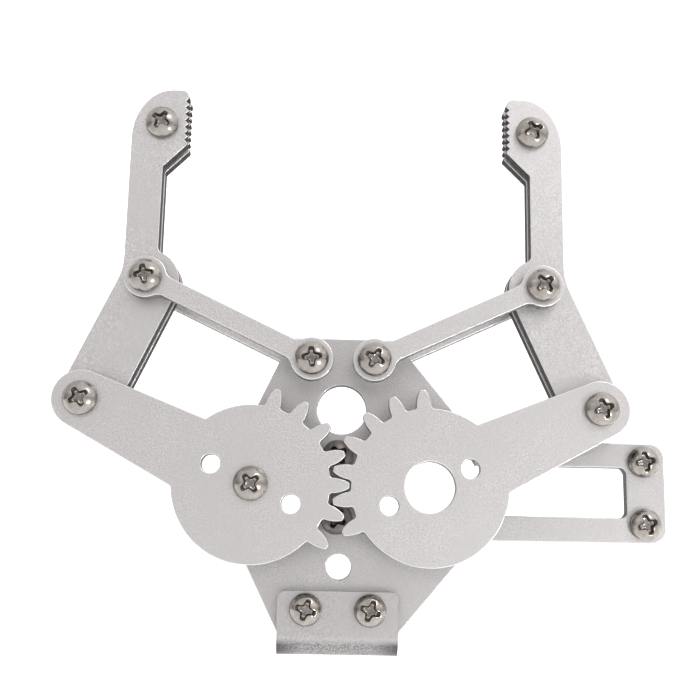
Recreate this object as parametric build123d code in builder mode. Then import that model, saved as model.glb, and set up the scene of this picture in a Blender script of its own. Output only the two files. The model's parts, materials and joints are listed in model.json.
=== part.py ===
from build123d import *
import os
from math import acos, asin, cos, degrees, hypot, radians, sin, tan

# A two-jaw gripper for a desktop robot arm: flat plates stacked in layers and held by M3 screws.
# Origin: centre of the wrist flange's bolt circle, on the flange's underside.
# +X is to the right seen from the front, +Y is to the back, +Z is towards the finger tips.
# Outlines are drawn from the front with their origin midway between the two gear centres.
# A depth is a distance behind the base plate's front face; layers in front of it are negative.

# Main sizes, in millimetres and degrees
SHEET = 2.0
GEAR_HEIGHT = 26.0          # gear centres above the flange's underside
PLATE_FRONT = -10.5         # y of the base plate's front face
DEBURR = 0.18               # rounding on the cut plates' edges
SHARP = 0.01                # tolerance for picking out a corner by its place

# Four-bar linkage: lever and link are equal and parallel, so the jaws stay upright
GEAR_X = 14.0
LEVER = 30.0
OPEN_ANGLE = 25.2           # lever above the horizontal with the jaws fully open
LINK_PIVOT = (5.0, 20.0)
LEVER_END = (GEAR_X + LEVER * cos(radians(OPEN_ANGLE)), LEVER * sin(radians(OPEN_ANGLE)))
LINK_END = (LINK_PIVOT[0] + LEVER_END[0] - GEAR_X, LINK_PIVOT[1] + LEVER_END[1])
TIP_HOLE = (31.2, 60.0)

# Gear sectors
TEETH_IN_CIRCLE = 19
TEETH = 7
TOOTH_PITCH = 360 / TEETH_IN_CIRCLE
LOWEST_TOOTH = -2           # counted in pitches up from the line of centres
PRESSURE_ANGLE = 20.0
HALF_TOOTH = 4.25           # half the tooth's angle at the pitch circle, less than a quarter pitch
TIP_RADIUS = 15.4
ROOT_RADIUS = 12.4
TOOTH_CREST_ROUND = 0.34
TOOTH_ROOT_ROUND = 0.5

# Lever
LEVER_END_RADIUS = 4.6
LEVER_TAPER = 3.7
HORN_CIRCLE = 14.0
HORN_HOLE = 1.5
HORN_BORE = 4.0

# Links
LINK_WIDTH = 3.2
LINK_EYE = 3.45
LINK_WAIST_ROUND = 2.0

# Jaws
JAW_TOOTH_FACE = 26.9
JAW_OUTER = 36.2
JAW_BAR_INNER = 30.75
JAW_TOP = 66.0
JAW_BULGE = 5.1             # radius about the link's pivot
JAW_BULGE_MID = 160.0       # direction of a point on the bulge, from the link's pivot
JAW_FOOT = 4.45             # radius about the lever's pivot
JAW_FOOT_MID = -33.0        # direction of a point on the foot, from the lever's pivot
JAW_TIP_ROUND = (6.6, 8.6)  # half axes of the tip's outer corner
JAW_NOTCH = 52.4            # where the toothed part starts to step in from the bar
JAW_TOOTH_FOOT = 56.3
JAW_TOP_ROUND = 1.2
JAW_KNEE_ROUND = 10.0
JAW_HEEL_ROUND = 2.5
JAW_BULGE_ROUND = 1.0
JAW_NOTCH_ROUND = 0.5
JAW_DEBURR = 0.11
SERRATION_PITCH = 1.15
SERRATION_DEPTH = 0.55
SERRATIONS = 7
FIRST_SERRATION = 57.2

# Base plate
CROWN = (8.5, 24.2)
SIDE_CORNER = (-19.4, 0.6, -3.3)    # x, and the heights of its two ends
PLATE_BOTTOM = (9.45, -22.7)
TOP_HOLE = (12.5, 4.0)              # height and radius
LOW_HOLE = (-12.5, 2.0)
CABLE_HOLE = (-7.2, -2.9)
CABLE_HOLE_RADIUS = 2.6
SERVO_OPENING = 8.8
SHAFT_TO_FAR_EARS = 35.0
EAR_SPACING = 49.5
EAR_ROWS = 5.0              # ear holes above and below the servo's shaft
ARM_START = 22.0
ARM_HALF = 8.0
ARM_END = 52.4
WINDOW_HALF = 4.0
WINDOW_END = 46.2
WINDOW_ROUND = 1.0

# Wrist bracket
BRACKET_HALF = 9.4
BRACKET_TOP = -16.2
BRACKET_SCREW = (5.0, -19.0)
LEG_ROUND = 1.2
BEND = 3.0
FLANGE_ROUND = 3.0
FLANGE_BACK = 10.0
FLANGE_CIRCLE = 14.0
FLANGE_BORE = 4.0

# M3 hardware
THREAD = 1.5
RUNNING_HOLE = 1.55
CLEARANCE_HOLE = 1.6
HEAD_RADIUS = 2.7
SMALL_HEAD_RADIUS = 2.5    # wrist bracket and servo screws
HEAD_RIM = 0.75
HEAD_HEIGHT = 2.2
RECESS_LENGTH = 3.1
RECESS_WIDTH = 0.8
RECESS_DEPTH = 1.35
NUT_FLATS = 5.5
NUT_THICK = 2.4
WASHER_RADIUS = 3.2
SPACER_RADIUS = 3.0
RING_CHAMFER = 0.08

# Layers, each as (front, back) depths
JAW_GAP = 1.0
WASHER_GAP = 0.5
PLAY = 0.05                 # end play where two parts turn on each other
JAW_FRONT = (-JAW_GAP / 2 - SHEET, -JAW_GAP / 2)
JAW_REAR = (JAW_GAP / 2, JAW_GAP / 2 + SHEET)
LEVER_LAYER = (JAW_FRONT[0] - WASHER_GAP - SHEET, JAW_FRONT[0] - WASHER_GAP)
REAR_LINK_LAYER = (JAW_REAR[1] + WASHER_GAP, JAW_REAR[1] + WASHER_GAP + SHEET)
BASE_LAYER = (0.0, SHEET)

EAR_HOLES = [(GEAR_X + SHAFT_TO_FAR_EARS - EAR_SPACING * i, EAR_ROWS * j) for i in (0, 1) for j in (-1, 1)]
SIDES = {"left": -1, "right": 1}
QUARTER_TURNS = [(1, 0), (0, 1), (-1, 0), (0, -1)]    # cosine and sine of each quarter turn


def outline_plane(side, layer, point=(0, 0), turn=0):
    """Plane for a plate's outline; a left plate is a right one drawn from behind."""
    sign = SIDES[side]
    depth = layer[1] if side == "right" else layer[0]
    origin = (sign * point[0], PLATE_FRONT + depth, GEAR_HEIGHT + point[1])
    x_dir = (sign * cos(radians(turn)), 0, sin(radians(turn)))
    return Plane(origin=origin, x_dir=x_dir, z_dir=(0, -sign, 0))


def front_plane(depth, point=(0, 0), turn=0):
    """Plane at a depth, facing the front, with its origin at a point of the outlines."""
    origin = (point[0], PLATE_FRONT + depth, GEAR_HEIGHT + point[1])
    x_dir = (cos(radians(turn)), 0, sin(radians(turn)))
    return Plane(origin=origin, x_dir=x_dir, z_dir=(0, -1, 0))


def planes(depth, points, turns):
    """A plane at each point, all at one depth, each turned by its own angle."""
    return [front_plane(depth, point, turn) for point, turn in zip(points, turns)]


def polar(radius, angle):
    """Point at a radius and an angle in degrees."""
    return (radius * cos(radians(angle)), radius * sin(radians(angle)))


def both_sides(point):
    """The point's copy on the left, then the point."""
    return [(sign * point[0], point[1]) for sign in SIDES.values()]


def beyond(point, direction, distance):
    """Point at a distance from another along a direction of length 1."""
    return (point[0] + distance * direction[0], point[1] + distance * direction[1])


def corner(sketch, point):
    """The vertex of a sketch nearest to a point."""
    return sketch.vertices().sort_by_distance(Vertex(point[0], point[1], 0))[0]


def deburr(part):
    """Edges round the front and back faces of a flat plate."""
    by_depth = part.faces().sort_by(Axis.Y)
    return by_depth[0].edges() + by_depth[-1].edges()


def write(part, name):
    """Label a finished node and save it."""
    part.label = name
    export_step(part, f"parts/{name}.step")


# ---------------------------------------------------------------- hardware


def pan_screw(length, head_radius=HEAD_RADIUS):
    """M3 screw with a domed cross-recess head, head along +Z, seated on Z = 0."""
    point_chamfer = 0.4
    crown = HEAD_HEIGHT - HEAD_RIM
    crown_radius = (head_radius**2 + crown**2) / (2 * crown)
    half_sweep = asin(head_radius / crown_radius) / 2
    drop = crown_radius * (1 - cos(half_sweep))
    shoulder = (crown_radius * sin(half_sweep), HEAD_HEIGHT - drop)
    reach, half, hub = RECESS_LENGTH / 2, RECESS_WIDTH / 2, RECESS_WIDTH * 0.85
    quarter = [(reach, -half), (reach, half), (hub, half), (half, hub)]
    cross = [(x * c - y * s, x * s + y * c) for c, s in QUARTER_TURNS for x, y in quarter]
    with BuildPart() as screw:
        with BuildSketch(Plane.XZ):
            with BuildLine():
                Polyline(
                    (0, HEAD_HEIGHT),
                    (0, -length),
                    (THREAD - point_chamfer, -length),
                    (THREAD, point_chamfer - length),
                    (THREAD, 0),
                    (head_radius, 0),
                    (head_radius, HEAD_RIM),
                )
                ThreePointArc((head_radius, HEAD_RIM), shoulder, (0, HEAD_HEIGHT))
            make_face()
        revolve(axis=Axis.Z)
        with BuildSketch(Plane.XY.offset(HEAD_HEIGHT).rotated((0, 0, 20))):
            Polygon(*cross, align=None)
        extrude(amount=-RECESS_DEPTH, taper=9, mode=Mode.SUBTRACT)
    return screw.part


def hex_nut():
    """M3 nut with both ends chamfered, standing on Z = 0."""
    flat_radius = NUT_FLATS / 2
    corner_radius = flat_radius / cos(radians(30)) + 0.05
    chamfer_rise = (corner_radius - flat_radius) * tan(radians(30))
    with BuildPart() as nut:
        with BuildSketch(Plane.XY):
            RegularPolygon(flat_radius, 6, major_radius=False)
        extrude(amount=NUT_THICK)
        with BuildSketch(Plane.XZ):
            Polygon(
                (0, 0),
                (flat_radius, 0),
                (corner_radius, chamfer_rise),
                (corner_radius, NUT_THICK - chamfer_rise),
                (flat_radius, NUT_THICK),
                (0, NUT_THICK),
                align=None,
            )
        revolve(axis=Axis.Z, mode=Mode.INTERSECT)
        with BuildSketch(Plane.XY):
            Circle(RUNNING_HOLE)
        extrude(amount=NUT_THICK, mode=Mode.SUBTRACT)
    return nut.part


def ring(outer, length):
    """Round washer, spacer or bush for an M3 screw, standing on Z = 0."""
    with BuildPart() as body:
        with BuildSketch(Plane.XY):
            Circle(outer)
            Circle(RUNNING_HOLE, mode=Mode.SUBTRACT)
        extrude(amount=length)
        chamfer(body.edges().filter_by(GeomType.CIRCLE), RING_CHAMFER)
    return body.part


def place(name, *pieces_and_planes):
    """One node from (piece, plane, plane, ...) lists; each plane takes a copy of the piece."""
    with BuildPart() as node:
        for piece, *planes in pieces_and_planes:
            with Locations(*planes):
                add(piece)
    write(node.part, name)


# ---------------------------------------------------------------- plates


def tooth_flank():
    """Start, middle and end of one tooth's lower flank, tooth along +X, close to an involute."""
    base_radius = GEAR_X * cos(radians(PRESSURE_ANGLE))

    def involute(angle):
        return degrees(tan(angle)) - degrees(angle)

    crest_loss = involute(acos(base_radius / TIP_RADIUS)) - involute(radians(PRESSURE_ANGLE))
    under_root = 0.5
    root_gain = 1.1
    return (
        polar(ROOT_RADIUS - under_root, -HALF_TOOTH - root_gain),
        polar(GEAR_X, -HALF_TOOTH),
        polar(TIP_RADIUS, crest_loss - HALF_TOOTH),
    )


def gear_lever(side):
    """Gear sector and lever in one plate, drawn about the gear's centre with the lever along +X."""
    plane = outline_plane(side, LEVER_LAYER, (GEAR_X, 0), OPEN_ANGLE)
    phase = 0.5 if side == "right" else 0.0
    top_tooth = 180 - OPEN_ANGLE - (LOWEST_TOOTH + TEETH - 1 + phase) * TOOTH_PITCH
    lower = tooth_flank()
    upper = [(x, -y) for x, y in reversed(lower)]
    taper = radians(LEVER_TAPER)
    arm_start = 6.0
    arm_root = (arm_start, LEVER_END_RADIUS / cos(taper) + (LEVER - arm_start) * tan(taper))
    arm_tip = (LEVER + LEVER_END_RADIUS * sin(taper), LEVER_END_RADIUS * cos(taper))
    with BuildSketch() as tooth:
        with BuildLine():
            ThreePointArc(*lower)
            ThreePointArc(lower[2], (TIP_RADIUS, 0), upper[0])
            ThreePointArc(*upper)
            Line(upper[2], lower[0])
        make_face()
        crests = tooth.vertices().sort_by(Axis.X)[-2:]
        fillet(crests, TOOTH_CREST_ROUND)
    with BuildSketch() as outline:
        Circle(ROOT_RADIUS)
        span = (TEETH - 1) * TOOTH_PITCH
        with PolarLocations(0, TEETH, start_angle=top_tooth, angular_range=span, endpoint=True):
            add(tooth.sketch)
        Polygon(arm_root, arm_tip, (arm_tip[0], -arm_tip[1]), (arm_root[0], -arm_root[1]), align=None)
        with Locations((LEVER, 0)):
            Circle(LEVER_END_RADIUS)
        on_root = [v for v in outline.vertices() if abs(hypot(v.X, v.Y) - ROOT_RADIUS) < SHARP]
        fillet(on_root, TOOTH_ROOT_ROUND)
    with BuildPart() as lever:
        with BuildSketch(plane):
            add(outline.sketch)
            with Locations((LEVER, 0)):
                Circle(RUNNING_HOLE, mode=Mode.SUBTRACT)
            with Locations((HORN_CIRCLE / 2, 0), (-HORN_CIRCLE / 2, 0)):
                Circle(HORN_HOLE, mode=Mode.SUBTRACT)
            Circle(HORN_BORE if side == "right" else RUNNING_HOLE, mode=Mode.SUBTRACT)
        extrude(amount=SHEET)
        fillet(deburr(lever), DEBURR)
    write(lever.part, f"{side}_gear_lever")


def link(side, layer, name):
    """Narrow bar with a round eye at each end, drawn from its pivot on the base plate."""
    with BuildPart() as bar:
        with BuildSketch(outline_plane(side, layer, LINK_PIVOT, OPEN_ANGLE)) as outline:
            with Locations((LEVER / 2, 0)):
                Rectangle(LEVER, LINK_WIDTH)
            with Locations((0, 0), (LEVER, 0)):
                Circle(LINK_EYE)
            waists = [v for v in outline.vertices() if abs(abs(v.Y) - LINK_WIDTH / 2) < SHARP]
            fillet(waists, LINK_WAIST_ROUND)
            with Locations((0, 0), (LEVER, 0)):
                Circle(RUNNING_HOLE, mode=Mode.SUBTRACT)
        extrude(amount=SHEET)
        fillet(deburr(bar), DEBURR)
    write(bar.part, name)


def jaw_plate(side, layer, name):
    """Finger plate: foot on the lever, bulge at the link, upright bar and serrated tip."""
    run = (LINK_END[0] - LEVER_END[0], LINK_END[1] - LEVER_END[1])
    along = (run[0] / hypot(*run), run[1] / hypot(*run))
    outward = (along[1], -along[0])
    bulge_side = beyond(LINK_END, outward, -JAW_BULGE)
    bulge_mid = beyond(LINK_END, polar(1, JAW_BULGE_MID), JAW_BULGE)
    bulge_rise = (JAW_BULGE**2 - (LINK_END[0] - JAW_BAR_INNER) ** 2) ** 0.5
    bulge_top = (JAW_BAR_INNER, LINK_END[1] + bulge_rise)
    foot_bottom = (LEVER_END[0], LEVER_END[1] - JAW_FOOT)
    foot_mid = beyond(LEVER_END, polar(1, JAW_FOOT_MID), JAW_FOOT)
    foot_side = beyond(LEVER_END, outward, JAW_FOOT)
    heel = beyond(bulge_side, along, (foot_bottom[1] - bulge_side[1]) / along[1])
    knee = beyond(foot_side, along, (JAW_OUTER - foot_side[0]) / along[0])
    tip_centre = (JAW_OUTER - JAW_TIP_ROUND[0], JAW_TOP - JAW_TIP_ROUND[1])
    notch = (JAW_BAR_INNER, JAW_NOTCH)
    top_corner = (JAW_TOOTH_FACE, JAW_TOP)
    half_cut = SERRATION_PITCH * 0.45
    cuts = [(JAW_TOOTH_FACE, FIRST_SERRATION + i * SERRATION_PITCH) for i in range(SERRATIONS)]
    with BuildPart() as plate:
        with BuildSketch(outline_plane(side, layer)) as outline:
            with BuildLine():
                Polyline(top_corner, (JAW_TOOTH_FACE, JAW_TOOTH_FOOT), notch, bulge_top)
                ThreePointArc(bulge_top, bulge_mid, bulge_side)
                Polyline(bulge_side, heel, foot_bottom)
                ThreePointArc(foot_bottom, foot_mid, foot_side)
                Polyline(foot_side, knee, (JAW_OUTER, tip_centre[1]))
                EllipticalCenterArc(tip_centre, *JAW_TIP_ROUND, start_angle=0, arc_size=90)
                Line((tip_centre[0], JAW_TOP), top_corner)
            make_face()
            fillet(corner(outline, top_corner), JAW_TOP_ROUND)
            fillet(corner(outline, knee), JAW_KNEE_ROUND)
            fillet(corner(outline, heel), JAW_HEEL_ROUND)
            fillet(corner(outline, bulge_top), JAW_BULGE_ROUND)
            fillet(corner(outline, notch), JAW_NOTCH_ROUND)
            with Locations(*cuts):
                Polygon((0, -half_cut), (0, half_cut), (SERRATION_DEPTH, 0), align=None, mode=Mode.SUBTRACT)
            with Locations(LEVER_END, LINK_END, TIP_HOLE):
                Circle(CLEARANCE_HOLE, mode=Mode.SUBTRACT)
        extrude(amount=SHEET)
        fillet(deburr(plate), JAW_DEBURR)
    write(plate.part, name)


def base_plate():
    """Plate that carries both gears, both links, the wrist bracket and the servo."""
    corners_and_rounds = [
        (CROWN, 0.8),
        ((-CROWN[0], CROWN[1]), 0.8),
        ((SIDE_CORNER[0], SIDE_CORNER[1]), 3.0),
        ((SIDE_CORNER[0], SIDE_CORNER[2]), 3.0),
        ((-PLATE_BOTTOM[0], PLATE_BOTTOM[1]), 0.6),
        (PLATE_BOTTOM, 0.6),
        ((ARM_START, -ARM_HALF), 1.5),
        ((ARM_END, -ARM_HALF), 2.3),
        ((ARM_END, ARM_HALF), 2.3),
        ((ARM_START, ARM_HALF), 1.5),
    ]
    with BuildPart() as plate:
        with BuildSketch(front_plane(BASE_LAYER[1])) as outline:
            Polygon(*[point for point, _ in corners_and_rounds], align=None)
            for point, radius in corners_and_rounds:
                fillet(corner(outline, point), radius)
            with Locations(((GEAR_X + WINDOW_END) / 2, 0)):
                RectangleRounded(WINDOW_END - GEAR_X, 2 * WINDOW_HALF, WINDOW_ROUND, mode=Mode.SUBTRACT)
            with Locations((GEAR_X, 0)):
                Circle(SERVO_OPENING, mode=Mode.SUBTRACT)
            with Locations((0, TOP_HOLE[0])):
                Circle(TOP_HOLE[1], mode=Mode.SUBTRACT)
            with Locations((0, LOW_HOLE[0])):
                Circle(LOW_HOLE[1], mode=Mode.SUBTRACT)
            with Locations(CABLE_HOLE):
                Circle(CABLE_HOLE_RADIUS, mode=Mode.SUBTRACT)
            with Locations(*both_sides(LINK_PIVOT), *both_sides(BRACKET_SCREW), *EAR_HOLES, (-GEAR_X, 0)):
                Circle(CLEARANCE_HOLE, mode=Mode.SUBTRACT)
        extrude(amount=SHEET)
        fillet(deburr(plate), DEBURR)
    write(plate.part, "base_plate")


def wrist_bracket():
    """Folded plate: an upright leg on the base plate's front and a flange under the gripper."""
    leg_front = PLATE_FRONT - SHEET
    leg_top = GEAR_HEIGHT + BRACKET_TOP
    with BuildPart() as bracket:
        with BuildSketch(Plane.YZ) as fold:
            Polygon(
                (leg_front, 0),
                (FLANGE_BACK, 0),
                (FLANGE_BACK, SHEET),
                (PLATE_FRONT, SHEET),
                (PLATE_FRONT, leg_top),
                (leg_front, leg_top),
                align=None,
            )
            fillet(corner(fold, (leg_front, 0)), BEND)
            fillet(corner(fold, (PLATE_FRONT, SHEET)), BEND - SHEET)
        extrude(amount=BRACKET_HALF, both=True)
        fillet(bracket.edges().filter_by(Axis.Y).group_by(Axis.Z)[-1], LEG_ROUND)
        fillet(bracket.edges().filter_by(Axis.Z).group_by(Axis.Y)[-1], FLANGE_ROUND)
        with BuildSketch(Plane.XY):
            Circle(FLANGE_BORE)
            with PolarLocations(FLANGE_CIRCLE / 2, 4, start_angle=45):
                Circle(CLEARANCE_HOLE)
        extrude(amount=SHEET, mode=Mode.SUBTRACT)
        with BuildSketch(front_plane(0)):
            with Locations(*both_sides(BRACKET_SCREW)):
                Circle(CLEARANCE_HOLE)
        extrude(amount=SHEET, mode=Mode.SUBTRACT)
    write(bracket.part, "wrist_bracket")


# ---------------------------------------------------------------- assembly

os.makedirs("parts", exist_ok=True)

base_plate()
wrist_bracket()

tip_screw, lever_screw, link_screw = [pan_screw(length) for length in (8, 10, 14)]
plate_screw = pan_screw(8, SMALL_HEAD_RADIUS)
nut = hex_nut()
washer = ring(WASHER_RADIUS, WASHER_GAP - PLAY)
jaw_spacer = ring(SPACER_RADIUS, JAW_GAP)
long_spacer = ring(SPACER_RADIUS, -LEVER_LAYER[1] - PLAY)
short_spacer = ring(WASHER_RADIUS, REAR_LINK_LAYER[0] - BASE_LAYER[1] - PLAY)

# Depths under the screw heads and behind the nuts
lever_seat = LEVER_LAYER[0] - PLAY
base_nut = BASE_LAYER[1] + NUT_THICK
jaw_nut = JAW_REAR[1] + NUT_THICK
link_nut = REAR_LINK_LAYER[1] + PLAY + NUT_THICK

# Servo fixings
flats_across = 30
place("servo_screws", (plate_screw, *planes(BASE_LAYER[0], EAR_HOLES, (20, 35, 10, 55))))
place("servo_nuts", (nut, *planes(base_nut, EAR_HOLES, (flats_across,) * 4)))

# Bracket fixings
bracket_points = both_sides(BRACKET_SCREW)
place("bracket_screws", (plate_screw, *planes(-SHEET, bracket_points, (72, 70))))
place("bracket_nuts", (nut, *planes(base_nut, bracket_points, (8, 41))))

# Idle pivot of the left gear lever
idle = (-GEAR_X, 0)
place("left_gear_screw", (lever_screw, front_plane(lever_seat, idle, 38)))
place("left_gear_bush", (long_spacer, front_plane(0, idle)))
place("left_gear_nut", (nut, front_plane(base_nut, idle, 22)))

# Pivots of the links on the base plate
pivots = both_sides(LINK_PIVOT)
unturned = (0, 0)
place("link_pivot_screws", (link_screw, *planes(lever_seat, pivots, (5, 62))))
place("link_pivot_spacers", (long_spacer, *planes(0, pivots, unturned)))
place("link_pivot_washers", (short_spacer, *planes(REAR_LINK_LAYER[0] - PLAY, pivots, unturned)))
place("link_pivot_nuts", (nut, *planes(link_nut, pivots, (15, 50))))

# Moving parts, left and right
screw_turns = {"left": (58, 10, 30), "right": (25, 40, 20)}
for side, sign in SIDES.items():
    gear_lever(side)
    link(side, LEVER_LAYER, f"{side}_front_link")
    link(side, REAR_LINK_LAYER, f"{side}_rear_link")
    jaw_plate(side, JAW_FRONT, f"{side}_jaw_front_plate")
    jaw_plate(side, JAW_REAR, f"{side}_jaw_rear_plate")
    tip, mid, root = [(sign * x, z) for x, z in (TIP_HOLE, LINK_END, LEVER_END)]
    tip_turn, mid_turn, root_turn = screw_turns[side]
    place(f"{side}_tip_screw", (tip_screw, front_plane(JAW_FRONT[0], tip, tip_turn)))
    place(f"{side}_link_screw", (link_screw, front_plane(lever_seat, mid, mid_turn)))
    place(f"{side}_lever_screw", (lever_screw, front_plane(lever_seat, root, root_turn)))
    place(f"{side}_jaw_spacers", (jaw_spacer, *planes(JAW_REAR[0], (tip, mid, root), (0, 0, 0))))
    in_front = planes(JAW_FRONT[0], (mid, root), unturned)
    behind = front_plane(JAW_REAR[1] + WASHER_GAP - PLAY, mid)
    place(f"{side}_jaw_washers", (washer, *in_front, behind))
    on_jaw = planes(jaw_nut, (tip, root), (12, 33))
    place(f"{side}_jaw_nuts", (nut, *on_jaw, front_plane(link_nut, mid, 3)))
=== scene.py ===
import json
from math import cos, hypot, pi, radians, sin, sqrt

import bmesh
import bpy
from mathutils import Matrix, Vector


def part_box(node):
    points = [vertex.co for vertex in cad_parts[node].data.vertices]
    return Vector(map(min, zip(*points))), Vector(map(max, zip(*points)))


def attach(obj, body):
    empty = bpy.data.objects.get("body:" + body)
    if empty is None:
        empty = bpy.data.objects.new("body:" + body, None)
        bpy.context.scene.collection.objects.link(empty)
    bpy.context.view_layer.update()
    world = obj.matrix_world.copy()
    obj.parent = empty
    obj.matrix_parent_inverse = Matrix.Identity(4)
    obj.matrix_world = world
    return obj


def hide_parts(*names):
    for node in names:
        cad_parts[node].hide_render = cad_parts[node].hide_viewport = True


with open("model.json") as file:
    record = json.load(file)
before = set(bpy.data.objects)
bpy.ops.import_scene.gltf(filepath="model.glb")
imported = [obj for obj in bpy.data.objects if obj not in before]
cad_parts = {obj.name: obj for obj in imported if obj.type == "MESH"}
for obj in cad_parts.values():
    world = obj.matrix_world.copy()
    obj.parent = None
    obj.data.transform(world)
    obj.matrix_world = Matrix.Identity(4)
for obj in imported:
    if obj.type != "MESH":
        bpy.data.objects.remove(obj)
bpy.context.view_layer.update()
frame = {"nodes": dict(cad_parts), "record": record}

# Lengths in the part's own frame are in metres: +Z to the finger tips, +Y to the back.
# Shapes and textures are worked out in millimetres and scaled by MM.
MM = 0.001

# Camera: close under the gripper's middle, looking up at it a little
AIM = Vector((0.00115, -0.0105, 0.0484))
DISTANCE = 0.1662
TILT = radians(-10.71)
YAW = radians(1.24)
ROLL = radians(1.12)
LENS = 52.0

# Paper backdrop, in metres
FLOOR_Z = -0.12
SWEEP_FRONT = -8.0
SWEEP_BACK = 0.7
SWEEP_RADIUS = 0.5
SWEEP_STEPS = 24                        # along the quarter circle behind the object
SWEEP_TOP = 3.0
SWEEP_HALF_WIDTH = 8.0
GLOW_FROM, GLOW_TO = -0.12, 0.12        # y over which the paper's glow grows
GLOW_LOW, GLOW_HIGH = 0.0, 0.5
FADE_FROM, FADE_TO = 2.0, 7.0           # distance over which the paper is painted darker as shade, fading into the sky

# Sky
SKY_COLOUR = (1.0, 0.97, 0.975, 1)
SKY_FROM, SKY_TO = -0.02, 0.45          # upward part of a direction, from dim to bright
SKY_LOW, SKY_HIGH = 0.42, 1.15
SKY_LEAN = 0.35                         # how much brighter the right is than the left

# Lamps: name, place, size, watts, colour. All of them face LAMP_AIM.
LAMP_AIM = Vector((0, -0.01, 0.045))
LAMPS = [
    ("key", Vector((0.26, -0.30, 0.42)), (0.12, 0.12), 0.5, (1.0, 0.97, 1.0)),
    ("side", Vector((-0.30, -0.25, 0.16)), (0.2, 0.3), 0.08, (1.0, 0.94, 0.93)),
    ("spark", Vector((0.15, -0.15, -0.05)), (0.03, 0.03), 0.12, (1.0, 1.0, 1.0)),
]

# M3 screw's head, in millimetres
HEAD_RADIUS = 2.7
SMALL_HEAD_RADIUS = 2.5
HEAD_RIM = 0.75                         # height of the head's side, below the dome
HEAD_HEIGHT = 2.2
DOME_RINGS = (0.06, 0.2, 0.4, 0.6, 0.78)    # shares of the way out from the recess
DOME_EDGE = 0.16                        # where the last of them stops, in from the side
RIM_INSET, RIM_DROP, RIM_FALL = 0.05, 0.02, 0.06    # round edge between dome and side
FOOT_HEIGHT, FOOT_INSET = 0.12, 0.09    # bevel under the head
NECK = 0.1                              # bevel between the head and the shank

# One quarter of the cross recess's outline, in order round the head
RECESS_QUARTER = [
    (1.56, -0.40), (1.68, -0.24), (1.72, 0.0), (1.68, 0.24), (1.56, 0.40),
    (1.18, 0.46), (0.86, 0.52), (0.66, 0.61), (0.61, 0.66), (0.52, 0.86), (0.46, 1.18),
]
# Recess rings as (scale of the outline, depth below the head's top)
RECESS_RINGS = [(0.52, 1.12), (0.66, 1.05), (0.80, 0.72), (0.92, 0.34)]
RECESS_LIP = [(0.975, 0.07), (1.03, 0.012)]     # depths below the dome's surface
RECESS_POINT = 0.05                     # how much deeper the middle of the recess is
SHADED_RECESS_RINGS = range(1, 4)               # bands of the recess's wall painted dark as shade

# Its shank and thread
PLAIN_SHANK = 1.44
PLAIN_SHORTEST = 0.4
THREADED = 4.6
THREAD_PITCH = 0.5
THREAD_CREST = 1.5
THREAD_ROOT = 1.23
ROW_GAP = 0.001                         # between the rows that the shank still covers
POINT_INSET, POINT_SLOPE = 0.18, 1.1    # bevel at the end of the thread

# M3 nut
NUT_FLAT = 2.75
NUT_THICK = 2.4
NUT_BORE = 1.55
NUT_SINK = 1.78
NUT_SINK_DEPTH = 0.25
NUT_CHAMFER_START = 2.6
NUT_CHAMFER_FALL = 0.577
NUT_COLUMNS = 60
WASHER_PLAY = 0.05                      # between a rear link and the nut behind it

# The hardware's materials, as numbered in its meshes; the last two are darker nickel painted as
# shade
BRIGHT, RECESS_SHADE, PAINTED_SHADE = 0, 1, 2
SHARP_ANGLE = radians(34)
MERGE = 1e-7


# ---------------------------------------------------------------- mesh helpers


def new_object(name, mesh):
    made = bpy.data.objects.new(name, mesh)
    bpy.context.collection.objects.link(made)
    return made


def ring(mesh, points):
    return [mesh.verts.new(p) for p in points]


def circle(radius, height, angles):
    return [(radius * cos(a), radius * sin(a), height) for a in angles]


def join(mesh, lower, upper, look=BRIGHT):
    """Quads between two rings of the same length."""
    for i in range(len(lower)):
        j = (i + 1) % len(lower)
        mesh.faces.new((lower[i], lower[j], upper[j], upper[i])).material_index = look


def cap(mesh, edge, centre, look=BRIGHT):
    """Fan from a ring to a point."""
    tip = mesh.verts.new(centre)
    for i in range(len(edge)):
        mesh.faces.new((edge[i], edge[(i + 1) % len(edge)], tip)).material_index = look


# ---------------------------------------------------------------- shapes of screws and nuts


def recess_outline():
    """The cross recess's outline as (x, y) points round the head."""
    outline = []
    for quarter in range(4):
        c, s = round(cos(quarter * pi / 2)), round(sin(quarter * pi / 2))
        outline += [(x * c - y * s, x * s + y * c) for x, y in RECESS_QUARTER]
    return outline


def dome_height(radius, head):
    crown = HEAD_HEIGHT - HEAD_RIM
    sphere = (head**2 + crown**2) / (2 * crown)
    return HEAD_HEIGHT - (sphere - sqrt(sphere**2 - radius**2))


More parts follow.
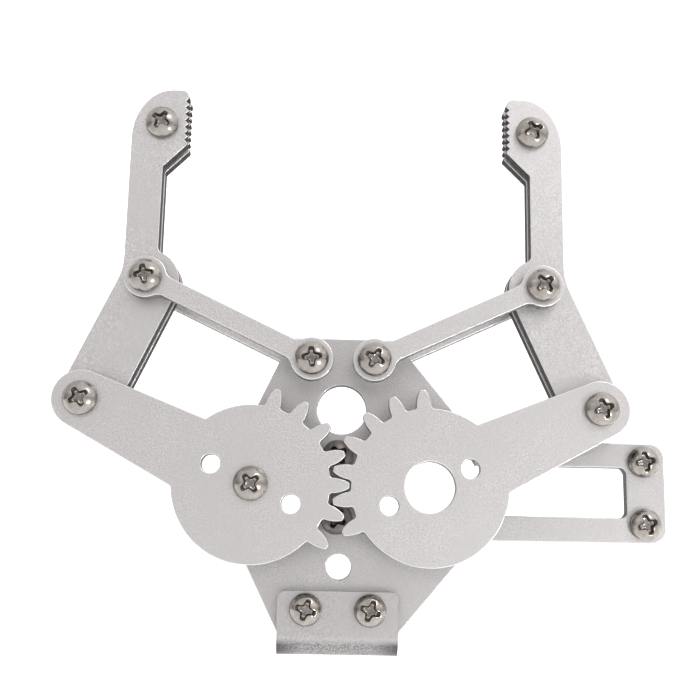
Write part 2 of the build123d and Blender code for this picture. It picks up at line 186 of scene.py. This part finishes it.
def add_head(mesh, outline, angles, head, look):
    """Domed head with its recess; gives back the ring where the shank starts."""
    rings = []
    for scale, depth in RECESS_RINGS:
        height = HEAD_HEIGHT - depth
        rings.append(ring(mesh, [(x * scale, y * scale, height) for x, y in outline]))
    for scale, depth in RECESS_LIP:
        lip = []
        for x, y in outline:
            lip.append((x * scale, y * scale, dome_height(hypot(x, y) * scale, head) - depth))
        rings.append(ring(mesh, lip))
    for share in DOME_RINGS:
        points = []
        for (x, y), angle in zip(outline, angles):
            start = hypot(x, y) * RECESS_LIP[-1][0]
            radius = start + (head - DOME_EDGE - start) * share / DOME_RINGS[-1]
            points.append((radius * cos(angle), radius * sin(angle), dome_height(radius, head)))
        rings.append(ring(mesh, points))
    rim = head - RIM_INSET
    side = [
        (rim, dome_height(rim, head) - RIM_DROP),
        (head, HEAD_RIM - RIM_FALL),
        (head, FOOT_HEIGHT),
        (head - FOOT_INSET, 0.0),
        (PLAIN_SHANK + NECK, 0.0),
        (PLAIN_SHANK, -NECK),
    ]
    rings += [ring(mesh, circle(radius, height, angles)) for radius, height in side]
    # The recess's wall bands take the darker nickel painted as shade
    for i, (inner, outer) in enumerate(zip(rings, rings[1:])):
        join(mesh, outer, inner, RECESS_SHADE if i in SHADED_RECESS_RINGS else look)
    # The recess's floor takes the darker nickel painted as shade
    cap(mesh, rings[0][::-1], (0, 0, HEAD_HEIGHT - RECESS_RINGS[0][1] - RECESS_POINT), PAINTED_SHADE)
    return rings[-1]


def add_thread(mesh, top_ring, angles, start, end):
    """Helical rows from a plain ring down to the end of the screw."""
    profile = [THREAD_CREST, THREAD_CREST, THREAD_ROOT, THREAD_ROOT]
    step = THREAD_PITCH / len(profile)
    rows = int((start - end) / step) + 2 * len(profile)
    above = top_ring
    for row in range(rows):
        below = []
        for i, angle in enumerate(angles):
            z = start - step * (row - len(profile)) - THREAD_PITCH * i / len(angles)
            radius = profile[row % len(profile)]
            if z >= start:
                z, radius = start - ROW_GAP * row, PLAIN_SHANK
            z = max(z, end)
            radius = min(radius, THREAD_ROOT - POINT_INSET + (z - end) * POINT_SLOPE)
            below.append(mesh.verts.new((radius * cos(angle), radius * sin(angle), z)))
        join(mesh, below, above)
        above = below
    cap(mesh, above[::-1], (0, 0, end))


def add_screw(mesh, length, head, look):
    """Domed cross-recess screw, head along +Z and seated on Z = 0."""
    outline = recess_outline()
    angles = [Vector(p).angle_signed(Vector((1, 0))) for p in outline]
    first = len(mesh.verts)
    neck = add_head(mesh, outline, angles, head, look)
    start = -max(PLAIN_SHORTEST, length - THREADED)
    plain = ring(mesh, circle(PLAIN_SHANK, start, angles))
    join(mesh, plain, neck)
    add_thread(mesh, plain, angles, start, -length)
    mesh.verts.ensure_lookup_table()
    return mesh.verts[first:]


def add_nut(mesh):
    """Hex nut with both ends chamfered, standing on Z = 0 towards +Z."""
    angles = [2 * pi * i / NUT_COLUMNS for i in range(NUT_COLUMNS)]
    hexagon = [NUT_FLAT / cos((a + pi / 6) % (pi / 3) - pi / 6) for a in angles]
    first = len(mesh.verts)

    def hex_ring(base, sign):
        points = []
        for radius, a in zip(hexagon, angles):
            fall = (radius - NUT_CHAMFER_START) * NUT_CHAMFER_FALL
            points.append((radius * cos(a), radius * sin(a), base + sign * fall))
        return ring(mesh, points)

    rings = [
        ring(mesh, circle(NUT_BORE, NUT_SINK_DEPTH, angles)),
        ring(mesh, circle(NUT_SINK, 0.0, angles)),
        ring(mesh, circle(NUT_CHAMFER_START, 0.0, angles)),
        hex_ring(0.0, 1),
        hex_ring(NUT_THICK, -1),
        ring(mesh, circle(NUT_CHAMFER_START, NUT_THICK, angles)),
        ring(mesh, circle(NUT_SINK, NUT_THICK, angles)),
        ring(mesh, circle(NUT_BORE, NUT_THICK - NUT_SINK_DEPTH, angles)),
    ]
    for inner, outer in zip(rings, rings[1:] + rings[:1]):
        join(mesh, inner, outer)
    mesh.verts.ensure_lookup_table()
    return mesh.verts[first:]


# ---------------------------------------------------------------- materials


class Tree:
    """Short calls for building a material's nodes."""

    def __init__(self, name):
        self.material = bpy.data.materials.new(name)
        self.material.use_nodes = True
        self.nodes = self.material.node_tree.nodes
        self.links = self.material.node_tree.links
        self.shader = self.nodes["Principled BSDF"]
        place = self.nodes.new("ShaderNodeTexCoord")
        self.point = place.outputs["Object"]
        self.normal = place.outputs["Normal"]

    def put(self, socket, value):
        if isinstance(value, bpy.types.NodeSocket):
            self.links.new(value, socket)
        else:
            socket.default_value = value

    def set(self, name, value):
        self.put(self.shader.inputs[name], value)

    def math(self, operation, a, b=0.0, c=0.0):
        node = self.nodes.new("ShaderNodeMath")
        node.operation = operation
        for socket, value in zip(node.inputs, (a, b, c)):
            self.put(socket, value)
        return node.outputs[0]

    def stretch(self, vector, scale):
        node = self.nodes.new("ShaderNodeVectorMath")
        node.operation = "MULTIPLY"
        self.put(node.inputs[0], vector)
        node.inputs[1].default_value = scale
        return node.outputs[0]

    def length(self, vector):
        node = self.nodes.new("ShaderNodeVectorMath")
        node.operation = "LENGTH"
        self.put(node.inputs[0], vector)
        return node.outputs["Value"]

    def axis(self, vector, index):
        node = self.nodes.new("ShaderNodeSeparateXYZ")
        self.put(node.inputs[0], vector)
        return node.outputs[index]

    def noise(self, vector, per_mm, detail=2.0, roughness=0.5):
        node = self.nodes.new("ShaderNodeTexNoise")
        self.put(node.inputs["Vector"], vector)
        node.inputs["Scale"].default_value = per_mm / MM
        node.inputs["Detail"].default_value = detail
        node.inputs["Roughness"].default_value = roughness
        return node.outputs["Fac"]

    def cells(self, vector, per_mm):
        node = self.nodes.new("ShaderNodeTexVoronoi")
        self.put(node.inputs["Vector"], vector)
        node.inputs["Scale"].default_value = per_mm / MM
        return node.outputs["Distance"]

    def levels(self, value, low, high, out_low=0.0, out_high=1.0):
        """The value, stretched so that low to high becomes out_low to out_high."""
        node = self.nodes.new("ShaderNodeMapRange")
        for socket, number in zip(node.inputs, (value, low, high, out_low, out_high)):
            self.put(socket, number)
        return node.outputs[0]

    def mix(self, share, a, b):
        """Colour between a and b. The node's sockets 6, 7 and 2 are its colour ones."""
        node = self.nodes.new("ShaderNodeMix")
        node.data_type = "RGBA"
        self.put(node.inputs[0], share)
        self.put(node.inputs[6], a)
        self.put(node.inputs[7], b)
        return node.outputs[2]

    def bump(self, height, strength, distance_mm):
        node = self.nodes.new("ShaderNodeBump")
        self.put(node.inputs["Height"], height)
        node.inputs["Strength"].default_value = strength
        node.inputs["Distance"].default_value = distance_mm * MM
        self.set("Normal", node.outputs["Normal"])


def grey(value, warm=0.0):
    return (value * (1 + warm), value, value * (1 - warm), 1)


def blasted_aluminium(name, face, edge, edge_metal, fold_shade_grey=None):
    """Sand-blasted, clear anodised sheet; cut edges are rougher, streaked metal, painted darker as
    shade.

    face and edge are their greys, the edge's grey being painted shade, and edge_metal is how
    metallic the edge is. A folded sheet also gives the grey painted as shade on the downward-facing
    outside of its fold.
    """
    t = Tree(name)
    grain = t.noise(t.point, 4.2, 3.0, 0.7)
    pits = t.cells(t.point, 3.6)
    cloud = t.noise(t.point, 0.09, 3.0, 0.6)
    scuff = t.noise(t.stretch(t.point, (0.10, 1.0, 1.6)), 1.4)
    streak = t.noise(t.stretch(t.point, (1.0, 0.12, 1.0)), 3.4, 2.0, 0.6)

    # How far a face is turned from the sheet's own, and so on a cut edge or a rounded one
    tilt = t.math("ABSOLUTE", t.axis(t.normal, 1))
    if fold_shade_grey:
        tilt = t.math("MAXIMUM", tilt, t.math("ABSOLUTE", t.axis(t.normal, 2)))
    on_edge = t.levels(tilt, 0.55, 0.2)
    # Rounded edges: painted brighter as a highlight, and a little smoother
    on_round = t.math("MULTIPLY", t.levels(tilt, 0.3, 0.75), t.levels(tilt, 0.995, 0.9))

    dull = t.mix(t.levels(grain, 0.38, 0.66), grey(face * 0.78, 0.014), grey(face * 1.2, 0.006))
    clouded = t.mix(t.levels(cloud, 0.3, 0.72), dull, grey(face * 0.93, 0.012))
    scuffed = t.mix(t.levels(scuff, 0.70, 0.82, 0.0, 0.35), clouded, grey(face * 1.18))
    # Cut edges: streaks of the metal's own, in a dark grey painted as shade
    cut = t.mix(t.levels(streak, 0.35, 0.7), grey(edge * 0.6, 0.02), grey(edge * 1.5, 0.01))
    sheet = t.mix(on_edge, scuffed, cut)
    if fold_shade_grey:
        on_round = 0.0
        # The downward-facing outside of the fold is painted darker as shade, darker still towards
        # its ends; its grain is the metal's own
        down = t.levels(t.axis(t.normal, 2), -0.1, -0.45)
        stretched = t.mix(t.levels(grain, 0.4, 0.62), grey(fold_shade_grey * 0.7, 0.02), grey(fold_shade_grey * 2.0))
        end_shade = t.levels(t.math("ABSOLUTE", t.axis(t.point, 0)), 5.5 * MM, 9.2 * MM)
        stretched = t.mix(t.math("MULTIPLY", end_shade, 0.8), stretched, grey(fold_shade_grey * 0.3))
        sheet = t.mix(down, sheet, stretched)
    # Painted highlight on the rounded edges
    rounded = grey(min(face * 1.25, 0.92))
    t.set("Base Color", t.mix(t.math("MULTIPLY", on_round, 0.7), sheet, rounded))
    t.set("Metallic", t.math("MULTIPLY_ADD", on_edge, edge_metal - 1.0, 1.0))
    t.set("Specular IOR Level", 0.08)
    rough = t.math("MULTIPLY_ADD", on_edge, 0.25, t.levels(grain, 0.3, 0.7, 0.34, 0.50))
    t.set("Roughness", t.math("MULTIPLY_ADD", on_round, -0.1, rough))
    pitted = t.math("MULTIPLY_ADD", t.levels(pits, 0.0, 0.45), 0.35, grain)
    t.bump(t.math("MULTIPLY_ADD", streak, t.math("MULTIPLY", on_edge, 0.8), pitted), 0.6, 0.06)
    return t.material


def nickel_plate(name, bright, dull, rough):
    """Nickel over steel, with fine scratches; two colours and a range of roughness; steep sides are
    painted dark as a reflection.
    """
    t = Tree(name)
    cloud = t.noise(t.point, 1.1, 3.0, 0.6)
    scratch = t.noise(t.stretch(t.point, (1.0, 0.3, 0.12)), 9.0, 2.0, 0.6)
    grain = t.noise(t.point, 9.0, 2.0, 0.6)
    base = t.mix(t.levels(cloud, 0.3, 0.7), bright, dull)
    # Steep sides of heads and nuts are painted dark, a painted reflection of dark surroundings
    side = t.levels(t.math("ABSOLUTE", t.axis(t.normal, 1)), 0.6, 0.25)
    painted_dark_rim = t.mix(t.math("MULTIPLY", side, 0.75), base, grey(0.12, 0.06))
    worn = t.mix(t.levels(scratch, 0.62, 0.78, 0.0, 0.3), painted_dark_rim, grey(0.7, 0.03))
    t.set("Base Color", worn)
    t.set("Metallic", 1.0)
    t.set("Roughness", t.levels(cloud, 0.3, 0.7, *rough))
    t.bump(t.math("MULTIPLY_ADD", scratch, 0.5, grain), 0.18, 0.02)
    return t.material


def turned_aluminium(name):
    """Lathe-turned spacer with fine rings round its axis."""
    t = Tree(name)
    rings = t.noise(t.stretch(t.point, (0.05, 1.0, 0.05)), 8.0)
    cloud = t.noise(t.point, 0.8)
    t.set("Base Color", t.mix(t.levels(cloud, 0.3, 0.7), grey(0.58, 0.01), grey(0.7)))
    t.set("Metallic", 1.0)
    t.set("Roughness", t.levels(rings, 0.3, 0.7, 0.24, 0.38))
    t.bump(rings, 0.3, 0.03)
    return t.material


def glowing_paper(name):
    """Matt white paper that glows behind the object and is painted darker far away, as shade fading
    into the dim sky.
    """
    t = Tree(name)
    fibre = t.noise(t.point, 0.3, 3.0)
    near = t.levels(t.length(t.point), FADE_TO, FADE_FROM)
    paper = t.mix(fibre, grey(0.93), grey(0.95))
    glow = t.levels(t.axis(t.point, 1), GLOW_FROM, GLOW_TO, GLOW_LOW, GLOW_HIGH)
    # Far paper painted grey as shade
    t.set("Base Color", t.mix(near, grey(0.44), paper))
    t.set("Roughness", 0.9)
    t.set("Emission Color", (1, 1, 1, 1))
    t.set("Emission Strength", t.math("MULTIPLY", glow, near))
    return t.material


# ---------------------------------------------------------------- studio


def camera():
    """Camera at the photograph's viewing angle."""
    turn = (
        Matrix.Rotation(ROLL, 3, "Y") @ Matrix.Rotation(TILT, 3, "X") @ Matrix.Rotation(YAW, 3, "Z")
    )
    right, forward, up = turn.row
    data = bpy.data.cameras.new("camera")
    data.lens = LENS
    data.clip_start = 0.01
    data.clip_end = 10
    seen = new_object("camera", data)
    basis = Matrix((right, up, -forward)).transposed().to_4x4()
    seen.matrix_world = Matrix.Translation(AIM - DISTANCE * forward) @ basis
    bpy.context.scene.camera = seen


def soft_light(name, place, size, power, colour):
    data = bpy.data.lights.new(name, "AREA")
    data.shape = "RECTANGLE"
    data.size, data.size_y = size
    data.energy = power
    data.color = colour
    lamp = new_object(name, data)
    lamp.location = place
    lamp.rotation_euler = (LAMP_AIM - place).to_track_quat("-Z", "Y").to_euler()
    lamp.visible_camera = False


def sweep():
    """Seamless pale floor that curves up behind the object."""
    profile = [(SWEEP_FRONT, FLOOR_Z)]
    for i in range(SWEEP_STEPS + 1):
        a = pi / 2 * i / SWEEP_STEPS
        y = SWEEP_BACK + SWEEP_RADIUS * sin(a)
        profile.append((y, FLOOR_Z + SWEEP_RADIUS * (1 - cos(a))))
    profile.append((SWEEP_BACK + SWEEP_RADIUS, SWEEP_TOP))
    mesh = bmesh.new()
    left = ring(mesh, [(-SWEEP_HALF_WIDTH, y, z) for y, z in profile])
    right = ring(mesh, [(SWEEP_HALF_WIDTH, y, z) for y, z in profile])
    for i in range(len(profile) - 1):
        mesh.faces.new((left[i], right[i], right[i + 1], left[i + 1])).smooth = True
    data = bpy.data.meshes.new("sweep")
    mesh.to_mesh(data)
    mesh.free()
    data.materials.append(glowing_paper("sweep_paper"))
    new_object("sweep", data)


def sky():
    """Grey light from all round: dim at the horizon, bright above, brighter on the right."""
    world = bpy.data.worlds.new("world")
    world.use_nodes = True
    nodes, links = world.node_tree.nodes, world.node_tree.links
    split = nodes.new("ShaderNodeSeparateXYZ")
    links.new(nodes.new("ShaderNodeTexCoord").outputs["Generated"], split.inputs[0])
    rise = nodes.new("ShaderNodeMapRange")
    for socket, value in zip(rise.inputs[1:5], (SKY_FROM, SKY_TO, SKY_LOW, SKY_HIGH)):
        socket.default_value = value
    links.new(split.outputs["Z"], rise.inputs[0])
    lean = nodes.new("ShaderNodeMath")
    lean.operation = "MULTIPLY_ADD"
    lean.inputs[1].default_value = SKY_LEAN
    lean.inputs[2].default_value = 1.0
    links.new(split.outputs["X"], lean.inputs[0])
    both = nodes.new("ShaderNodeMath")
    both.operation = "MULTIPLY"
    links.new(rise.outputs[0], both.inputs[0])
    links.new(lean.outputs[0], both.inputs[1])
    background = nodes["Background"]
    background.inputs["Color"].default_value = SKY_COLOUR
    links.new(both.outputs[0], background.inputs["Strength"])
    bpy.context.scene.world = world


camera()
sky()
bpy.context.scene.view_settings.view_transform = "Standard"
for lamp in LAMPS:
    soft_light(*lamp)
sweep()

# ---------------------------------------------------------------- carried-over CAD nodes

# One anodised sheet in four copies: the base plate's and bracket's darker faces, and the edge
# greys, darkest on the jaws, are painted shade
plate_face = blasted_aluminium("blasted_sheet", 0.64, 0.26, 0.8)
jaw_face = blasted_aluminium("blasted_jaw_sheet", 0.64, 0.045, 0.0)
base_face = blasted_aluminium("blasted_base_sheet", 0.57, 0.12, 0.5)
bracket_face = blasted_aluminium("blasted_bracket_sheet", 0.53, 0.12, 0.6, 0.22)
turned = turned_aluminium("turned_spacer")
nickel = nickel_plate(
    "nickel_hardware", (0.43, 0.405, 0.375, 1), (0.31, 0.29, 0.26, 1), (0.14, 0.26)
)
# Darker nickel painted on the recess's walls as shade
recess_shade_nickel = nickel_plate(
    "nickel_recess", (0.25, 0.22, 0.19, 1), (0.15, 0.13, 0.11, 1), (0.4, 0.6)
)
# Darker nickel painted as shade, for the screws under the gears and the recess's floor
shaded_nickel = nickel_plate(
    "nickel_painted_shade", (0.32, 0.29, 0.27, 1), (0.20, 0.185, 0.175, 1), (0.36, 0.55)
)

# The first word that a node's name holds says its material
LOOK_BY_WORD = [
    ("spacer", turned),
    ("bush", turned),
    ("washer", nickel),
    ("screw", nickel),
    ("nut", nickel),
    ("jaw", jaw_face),
    ("base_plate", base_face),
    ("bracket", bracket_face),
    ("lever", plate_face),
    ("link", plate_face),
]
for node, shown in frame["nodes"].items():
    look = next(look for word, look in LOOK_BY_WORD if word in node)
    shown.data.materials.clear()
    shown.data.materials.append(look)

# ---------------------------------------------------------------- screws and nuts

bodies = frame["record"]["behaviour"]["bodies"]
body_of_node = {node: body for body, nodes in bodies.items() for node in nodes}


def middle_of(node):
    low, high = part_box(node)
    return ((low[0] + high[0]) / 2, (low[2] + high[2]) / 2)


def back_of(node):
    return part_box(node)[1][1]


def spots(node, inset, columns, rows):
    """Centres of a node's screws as (x, z), column by column, set in from its box."""
    low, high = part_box(node)
    x_middle, z_middle = middle_of(node)
    xs = [low[0] + inset * MM, high[0] - inset * MM] if columns == 2 else [x_middle]
    zs = [low[2] + inset * MM, high[2] - inset * MM] if rows == 2 else [z_middle]
    return [(x, z) for x in xs for z in zs]


def place(verts, point, turn):
    """Move new vertices to a point, local +Z facing the front."""
    t = radians(turn)
    x_axis = Vector((cos(t), 0, sin(t)))
    z_axis = Vector((0, -1, 0))
    y_axis = z_axis.cross(x_axis)
    for v in verts:
        local = v.co * MM
        v.co = Vector(point) + x_axis * local.x + y_axis * local.y + z_axis * local.z


def hardware(node, makers):
    """One piece that stands for a CAD node: (adder, sizes, point, turn) for each in it."""
    mesh = bmesh.new()
    for adder, sizes, point, turn in makers:
        place(adder(mesh, *sizes), point, turn)
    bmesh.ops.remove_doubles(mesh, verts=mesh.verts, dist=MERGE)
    bmesh.ops.dissolve_degenerate(mesh, edges=mesh.edges, dist=MERGE)
    bmesh.ops.recalc_face_normals(mesh, faces=mesh.faces)
    for face in mesh.faces:
        face.smooth = True
    data = bpy.data.meshes.new(f"detailed_{node}")
    mesh.to_mesh(data)
    mesh.free()
    data.set_sharp_from_angle(angle=SHARP_ANGLE)
    for look in (nickel, recess_shade_nickel, shaded_nickel):
        data.materials.append(look)
    piece = new_object(f"detailed_{node}", data)
    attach(piece, body_of_node[node])
    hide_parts(node)


def screws(node, turns, columns=1, rows=1, head=HEAD_RADIUS, dull=0):
    """Screws in a CAD node's places; the first few of them, as many as dull says, get darker nickel
    painted as shade.
    """
    low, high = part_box(node)
    seat = low[1] + HEAD_HEIGHT * MM
    length = (high[1] - seat) / MM
    points = spots(node, head, columns, rows)
    makers = []
    for i, ((x, z), turn) in enumerate(zip(points, turns)):
        look = PAINTED_SHADE if i < dull else BRIGHT
        makers.append((add_screw, (length, head, look), (x, seat, z), turn))
    hardware(node, makers)
    return points


def nuts(node, places):
    """Nuts at (x, z, face they rest on, turn)."""
    thick = NUT_THICK * MM
    hardware(node, [(add_nut, (), (x, seat + thick, z), turn) for x, z, seat, turn in places])


# The two ear screws under the gears sit in their shade, which is painted on them as darker nickel.
ears = screws("servo_screws", (62, 35, 20, 10), 2, 2, SMALL_HEAD_RADIUS, dull=2)
folds = screws("bracket_screws", (72, 70), 2, 1, SMALL_HEAD_RADIUS)
pivots = screws("link_pivot_screws", (5, 62), 2)
screws("left_gear_screw", (38,))
base_back = back_of("base_plate")
link_back = back_of("left_rear_link") + WASHER_PLAY * MM
jaw_back = back_of("left_jaw_rear_plate")
nuts("servo_nuts", [(x, z, base_back, 30) for x, z in ears])
nuts("bracket_nuts", [(x, z, base_back, turn) for (x, z), turn in zip(folds, (8, 41))])
nuts("left_gear_nut", [(*middle_of("left_gear_screw"), base_back, 22)])
nuts("link_pivot_nuts", [(x, z, link_back, turn) for (x, z), turn in zip(pivots, (15, 50))])
jaw_turns = {"left": (58, 10, 30), "right": (25, 40, 20)}
for side, (tip_turn, link_turn, lever_turn) in jaw_turns.items():
    screws(f"{side}_tip_screw", (tip_turn,))
    screws(f"{side}_link_screw", (link_turn,))
    screws(f"{side}_lever_screw", (lever_turn,))
    nuts(
        f"{side}_jaw_nuts",
        [
            (*middle_of(f"{side}_tip_screw"), jaw_back, 12),
            (*middle_of(f"{side}_lever_screw"), jaw_back, 33),
            (*middle_of(f"{side}_link_screw"), link_back, 3),
        ],
    )
